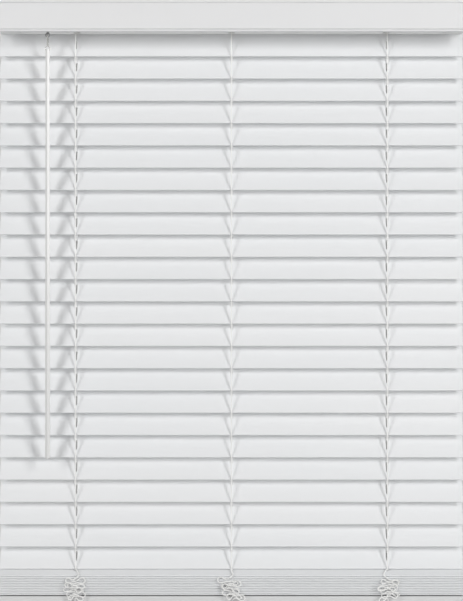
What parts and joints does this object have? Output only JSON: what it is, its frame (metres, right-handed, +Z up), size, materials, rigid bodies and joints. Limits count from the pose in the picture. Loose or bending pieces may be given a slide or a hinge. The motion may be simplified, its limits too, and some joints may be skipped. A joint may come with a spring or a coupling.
{
  "type": "venetian blind",
  "caption": "White wide-slat venetian blind without pull cords, closed, with a valance, a tilt wand, cord ladders and spare slats gathered on the bottom rail.",
  "frame": {"origin": "middle of the top faces of the two box brackets, where the top screws pass", "axes": "+X along the slats to the right as seen from the room, -Y towards the room, +Z up"},
  "size_m": [0.897, 0.078, 1.1431],
  "materials": {
    "white_slat": "satin, faint grain",
    "white_moulding": "satin",
    "wand_plastic": "semi gloss",
    "ladder_cord": "braided polyester",
    "lift_cord": "braided polyester",
    "headrail_steel": "white enamel",
    "bracket_steel": "white enamel",
    "clear_clip": "moulded",
    "zinc_steel": "zinc plated",
    "white_nylon": "moulded",
    "hook_wire": "bright wire",
    "spring_steel": "rolled strip"
  },
  "bodies": {
    "root": {"headrail": "headrail_steel", "valance": "white_moulding", "valance_clips": "clear_clip", "box_brackets": "bracket_steel", "bracket_gates": "bracket_steel", "tilter_case": "white_nylon", "drum_cradles": "white_nylon", "motor_plates": "white_nylon", "motor_spring": "spring_steel", "lift_cords": "lift_cord", "ladder_rungs": "ladder_cord", "ladder_slack": "ladder_cord"},
    "tilt_rod": {"tilt_rod": "zinc_steel", "tilt_gear": "white_nylon", "tilt_drums": "white_nylon"},
    "tilter_worm": {"tilter_worm": "zinc_steel"},
    "wand": {"tilt_wand": "wand_plastic", "wand_hook": "hook_wire"},
    "slat_01": {"slat_01": "white_slat"},
    "slat_02": {"slat_02": "white_slat"},
    "slat_03": {"slat_03": "white_slat"},
    "slat_04": {"slat_04": "white_slat"},
    "slat_05": {"slat_05": "white_slat"},
    "slat_06": {"slat_06": "white_slat"},
    "slat_07": {"slat_07": "white_slat"},
    "slat_08": {"slat_08": "white_slat"},
    "slat_09": {"slat_09": "white_slat"},
    "slat_10": {"slat_10": "white_slat"},
    "slat_11": {"slat_11": "white_slat"},
    "slat_12": {"slat_12": "white_slat"},
    "slat_13": {"slat_13": "white_slat"},
    "slat_14": {"slat_14": "white_slat"},
    "slat_15": {"slat_15": "white_slat"},
    "slat_16": {"slat_16": "white_slat"},
    "slat_17": {"slat_17": "white_slat"},
    "slat_18": {"slat_18": "white_slat"},
    "slat_19": {"slat_19": "white_slat"},
    "slat_20": {"slat_20": "white_slat"},
    "slat_21": {"slat_21": "white_slat"},
    "slat_22": {"slat_22": "white_slat"},
    "slat_23": {"slat_23": "white_slat"},
    "slat_24": {"slat_24": "white_slat"},
    "slat_25": {"slat_25": "white_slat"},
    "slat_26": {"slat_26": "white_slat"},
    "slat_27": {"slat_27": "white_slat"},
    "slat_28": {"slat_28": "white_slat"},
    "slat_29": {"slat_29": "white_slat"},
    "slat_30": {"slat_30": "white_slat"},
    "slat_31": {"slat_31": "white_slat"},
    "slat_32": {"slat_32": "white_slat"},
    "slat_33": {"slat_33": "white_slat"},
    "slat_34": {"slat_34": "white_slat"},
    "slat_35": {"slat_35": "white_slat"},
    "slat_36": {"slat_36": "white_slat"},
    "front_ladder": {"front_ladder_cords": "ladder_cord"},
    "back_ladder": {"back_ladder_cords": "ladder_cord"},
    "bottom_rail": {"bottom_rail": "white_slat", "rail_plugs": "white_nylon"},
    "cord_spool": {"cord_spool": "white_nylon"},
    "spring_drum": {"spring_drum": "white_nylon"}
  },
  "joints": [
    {"name": "tilt", "type": "hinge", "parent": "root", "child": "tilt_rod", "pos_m": [0, 0, -0.018], "axis": [-1, 0, 0], "range_deg": [0, 283.62], "deforming": ["ladder_rungs"]},
    {"name": "slat_01_tilt", "type": "hinge", "parent": "root", "child": "slat_01", "pos_m": [0, 0, -0.07568], "axis": [-1, 0, 0], "range_deg": [0, 136]},
    {"name": "slat_02_tilt", "type": "hinge", "parent": "root", "child": "slat_02", "pos_m": [0, 0, -0.11818], "axis": [-1, 0, 0], "range_deg": [0, 136]},
    {"name": "slat_03_tilt", "type": "hinge", "parent": "root", "child": "slat_03", "pos_m": [0, 0, -0.16068], "axis": [-1, 0, 0], "range_deg": [0, 136]},
    {"name": "slat_04_tilt", "type": "hinge", "parent": "root", "child": "slat_04", "pos_m": [0, 0, -0.20318], "axis": [-1, 0, 0], "range_deg": [0, 136]},
    {"name": "slat_05_tilt", "type": "hinge", "parent": "root", "child": "slat_05", "pos_m": [0, 0, -0.24568], "axis": [-1, 0, 0], "range_deg": [0, 136]},
    {"name": "slat_06_tilt", "type": "hinge", "parent": "root", "child": "slat_06", "pos_m": [0, 0, -0.28818], "axis": [-1, 0, 0], "range_deg": [0, 136]},
    {"name": "slat_07_tilt", "type": "hinge", "parent": "root", "child": "slat_07", "pos_m": [0, 0, -0.33068], "axis": [-1, 0, 0], "range_deg": [0, 136]},
    {"name": "slat_08_tilt", "type": "hinge", "parent": "root", "child": "slat_08", "pos_m": [0, 0, -0.37318], "axis": [-1, 0, 0], "range_deg": [0, 136]},
    {"name": "slat_09_tilt", "type": "hinge", "parent": "root", "child": "slat_09", "pos_m": [0, 0, -0.41568], "axis": [-1, 0, 0], "range_deg": [0, 136]},
    {"name": "slat_10_tilt", "type": "hinge", "parent": "root", "child": "slat_10", "pos_m": [0, 0, -0.45818], "axis": [-1, 0, 0], "range_deg": [0, 136]},
    {"name": "slat_11_tilt", "type": "hinge", "parent": "root", "child": "slat_11", "pos_m": [0, 0, -0.50068], "axis": [-1, 0, 0], "range_deg": [0, 136]},
    {"name": "slat_12_tilt", "type": "hinge", "parent": "root", "child": "slat_12", "pos_m": [0, 0, -0.54318], "axis": [-1, 0, 0], "range_deg": [0, 136]},
    {"name": "slat_13_tilt", "type": "hinge", "parent": "root", "child": "slat_13", "pos_m": [0, 0, -0.58568], "axis": [-1, 0, 0], "range_deg": [0, 136]},
    {"name": "slat_14_tilt", "type": "hinge", "parent": "root", "child": "slat_14", "pos_m": [0, 0, -0.62818], "axis": [-1, 0, 0], "range_deg": [0, 136]},
    {"name": "slat_15_tilt", "type": "hinge", "parent": "root", "child": "slat_15", "pos_m": [0, 0, -0.67068], "axis": [-1, 0, 0], "range_deg": [0, 136]},
    {"name": "slat_16_tilt", "type": "hinge", "parent": "root", "child": "slat_16", "pos_m": [0, 0, -0.71318], "axis": [-1, 0, 0], "range_deg": [0, 136]},
    {"name": "slat_17_tilt", "type": "hinge", "parent": "root", "child": "slat_17", "pos_m": [0, 0, -0.75568], "axis": [-1, 0, 0], "range_deg": [0, 136]},
    {"name": "slat_18_tilt", "type": "hinge", "parent": "root", "child": "slat_18", "pos_m": [0, 0, -0.79818], "axis": [-1, 0, 0], "range_deg": [0, 136]},
    {"name": "slat_19_tilt", "type": "hinge", "parent": "root", "child": "slat_19", "pos_m": [0, 0, -0.84068], "axis": [-1, 0, 0], "range_deg": [0, 136]},
    {"name": "slat_20_tilt", "type": "hinge", "parent": "root", "child": "slat_20", "pos_m": [0, 0, -0.88318], "axis": [-1, 0, 0], "range_deg": [0, 136]},
    {"name": "slat_21_tilt", "type": "hinge", "parent": "root", "child": "slat_21", "pos_m": [0, 0, -0.92568], "axis": [-1, 0, 0], "range_deg": [0, 136]},
    {"name": "slat_22_tilt", "type": "hinge", "parent": "root", "child": "slat_22", "pos_m": [0, 0, -0.96818], "axis": [-1, 0, 0], "range_deg": [0, 136]},
    {"name": "slat_23_tilt", "type": "hinge", "parent": "root", "child": "slat_23", "pos_m": [0, 0, -1.01068], "axis": [-1, 0, 0], "range_deg": [0, 136]},
    {"name": "slat_24_tilt", "type": "hinge", "parent": "root", "child": "slat_24", "pos_m": [0, 0, -1.05318], "axis": [-1, 0, 0], "range_deg": [0, 136]},
    {"name": "slat_25_tilt", "type": "hinge", "parent": "root", "child": "slat_25", "pos_m": [0, 0, -1.07688], "axis": [-1, 0, 0], "range_deg": [0, 48]},
    {"name": "front_ladder_swing", "type": "hinge", "parent": "slat_12", "child": "front_ladder", "pos_m": [0, -0.01151, -0.57166], "axis": [-1, 0, 0], "range_deg": [-136, 0]},
    {"name": "back_ladder_swing", "type": "hinge", "parent": "slat_12", "child": "back_ladder", "pos_m": [0, 0.01151, -0.51469], "axis": [-1, 0, 0], "range_deg": [-136, 0]},
    {"name": "worm_turn", "type": "hinge", "parent": "root", "child": "tilter_worm", "pos_m": [-0.3476, -0.01164, -0.01345], "axis": [0, -0.3638, -0.9315], "range_deg": [0, 4537.98]},
    {"name": "wand_turn", "type": "hinge", "parent": "root", "child": "wand", "pos_m": [-0.3476, -0.0308, -0.0625], "axis": [0, 0, -1], "range_deg": [0, 4537.98]},
    {"name": "lift", "type": "slide", "parent": "root", "child": "bottom_rail", "axis": [0, 0, -1], "range_m": [0, 0.47358], "deforming": ["ladder_slack", "lift_cords", "motor_spring"]},
    {"name": "slat_26_lower", "type": "slide", "parent": "root", "child": "slat_26", "axis": [0, 0, -1], "range_m": [0, 0.04853]},
    {"name": "slat_27_lower", "type": "slide", "parent": "root", "child": "slat_27", "axis": [0, 0, -1], "range_m": [0, 0.08788]},
    {"name": "slat_28_lower", "type": "slide", "parent": "root", "child": "slat_28", "axis": [0, 0, -1], "range_m": [0, 0.12723]},
    {"name": "slat_29_lower", "type": "slide", "parent": "root", "child": "slat_29", "axis": [0, 0, -1], "range_m": [0, 0.16658]},
    {"name": "slat_30_lower", "type": "slide", "parent": "root", "child": "slat_30", "axis": [0, 0, -1], "range_m": [0, 0.20593]},
    {"name": "slat_31_lower", "type": "slide", "parent": "root", "child": "slat_31", "axis": [0, 0, -1], "range_m": [0, 0.24528]},
    {"name": "slat_32_lower", "type": "slide", "parent": "root", "child": "slat_32", "axis": [0, 0, -1], "range_m": [0, 0.28463]},
    {"name": "slat_33_lower", "type": "slide", "parent": "root", "child": "slat_33", "axis": [0, 0, -1], "range_m": [0, 0.32398]},
    {"name": "slat_34_lower", "type": "slide", "parent": "root", "child": "slat_34", "axis": [0, 0, -1], "range_m": [0, 0.36333]},
    {"name": "slat_35_lower", "type": "slide", "parent": "root", "child": "slat_35", "axis": [0, 0, -1], "range_m": [0, 0.40268]},
    {"name": "slat_36_lower", "type": "slide", "parent": "root", "child": "slat_36", "axis": [0, 0, -1], "range_m": [0, 0.44203]},
    {"name": "spool_turn", "type": "hinge", "parent": "root", "child": "cord_spool", "pos_m": [0.174, 0, -0.038], "axis": [0, 0, -1], "range_deg": [0, 2087.24]},
    {"name": "spring_drum_turn", "type": "hinge", "parent": "root", "child": "spring_drum", "pos_m": [0.126, 0, -0.038], "axis": [0, 0, -1], "range_deg": [-1941.13, 0]}
  ],
  "couplings": [
    {"joint": "slat_01_tilt", "follows": "tilt", "ratio": 0.47951},
    {"joint": "slat_02_tilt", "follows": "tilt", "ratio": 0.47951},
    {"joint": "slat_03_tilt", "follows": "tilt", "ratio": 0.47951},
    {"joint": "slat_04_tilt", "follows": "tilt", "ratio": 0.47951},
    {"joint": "slat_05_tilt", "follows": "tilt", "ratio": 0.47951},
    {"joint": "slat_06_tilt", "follows": "tilt", "ratio": 0.47951},
    {"joint": "slat_07_tilt", "follows": "tilt", "ratio": 0.47951},
    {"joint": "slat_08_tilt", "follows": "tilt", "ratio": 0.47951},
    {"joint": "slat_09_tilt", "follows": "tilt", "ratio": 0.47951},
    {"joint": "slat_10_tilt", "follows": "tilt", "ratio": 0.47951},
    {"joint": "slat_11_tilt", "follows": "tilt", "ratio": 0.47951},
    {"joint": "slat_12_tilt", "follows": "tilt", "ratio": 0.47951},
    {"joint": "slat_13_tilt", "follows": "tilt", "ratio": 0.47951},
    {"joint": "slat_14_tilt", "follows": "tilt", "ratio": 0.47951},
    {"joint": "slat_15_tilt", "follows": "tilt", "ratio": 0.47951},
    {"joint": "slat_16_tilt", "follows": "tilt", "ratio": 0.47951},
    {"joint": "slat_17_tilt", "follows": "tilt", "ratio": 0.47951},
    {"joint": "slat_18_tilt", "follows": "tilt", "ratio": 0.47951},
    {"joint": "slat_19_tilt", "follows": "tilt", "ratio": 0.47951},
    {"joint": "slat_20_tilt", "follows": "tilt", "ratio": 0.47951},
    {"joint": "slat_21_tilt", "follows": "tilt", "ratio": 0.47951},
    {"joint": "slat_22_tilt", "follows": "tilt", "ratio": 0.47951},
    {"joint": "slat_23_tilt", "follows": "tilt", "ratio": 0.47951},
    {"joint": "slat_24_tilt", "follows": "tilt", "ratio": 0.47951},
    {"joint": "slat_25_tilt", "follows": "tilt", "ratio": 0.16924},
    {"joint": "front_ladder_swing", "follows": "tilt", "ratio": -0.47951},
    {"joint": "back_ladder_swing", "follows": "tilt", "ratio": -0.47951},
    {"joint": "worm_turn", "follows": "tilt", "ratio": 16},
    {"joint": "wand_turn", "follows": "tilt", "ratio": 16},
    {"joint": "slat_26_lower", "follows": "lift", "ratio": 0.10248},
    {"joint": "slat_27_lower", "follows": "lift", "ratio": 0.18557},
    {"joint": "slat_28_lower", "follows": "lift", "ratio": 0.26866},
    {"joint": "slat_29_lower", "follows": "lift", "ratio": 0.35175},
    {"joint": "slat_30_lower", "follows": "lift", "ratio": 0.43484},
    {"joint": "slat_31_lower", "follows": "lift", "ratio": 0.51793},
    {"joint": "slat_32_lower", "follows": "lift", "ratio": 0.60102},
    {"joint": "slat_33_lower", "follows": "lift", "ratio": 0.68411},
    {"joint": "slat_34_lower", "follows": "lift", "ratio": 0.7672},
    {"joint": "slat_35_lower", "follows": "lift", "ratio": 0.85029},
    {"joint": "slat_36_lower", "follows": "lift", "ratio": 0.93338},
    {"joint": "spool_turn", "follows": "lift", "rad_per_m": 76.923},
    {"joint": "spring_drum_turn", "follows": "lift", "rad_per_m": -71.538}
  ]
}
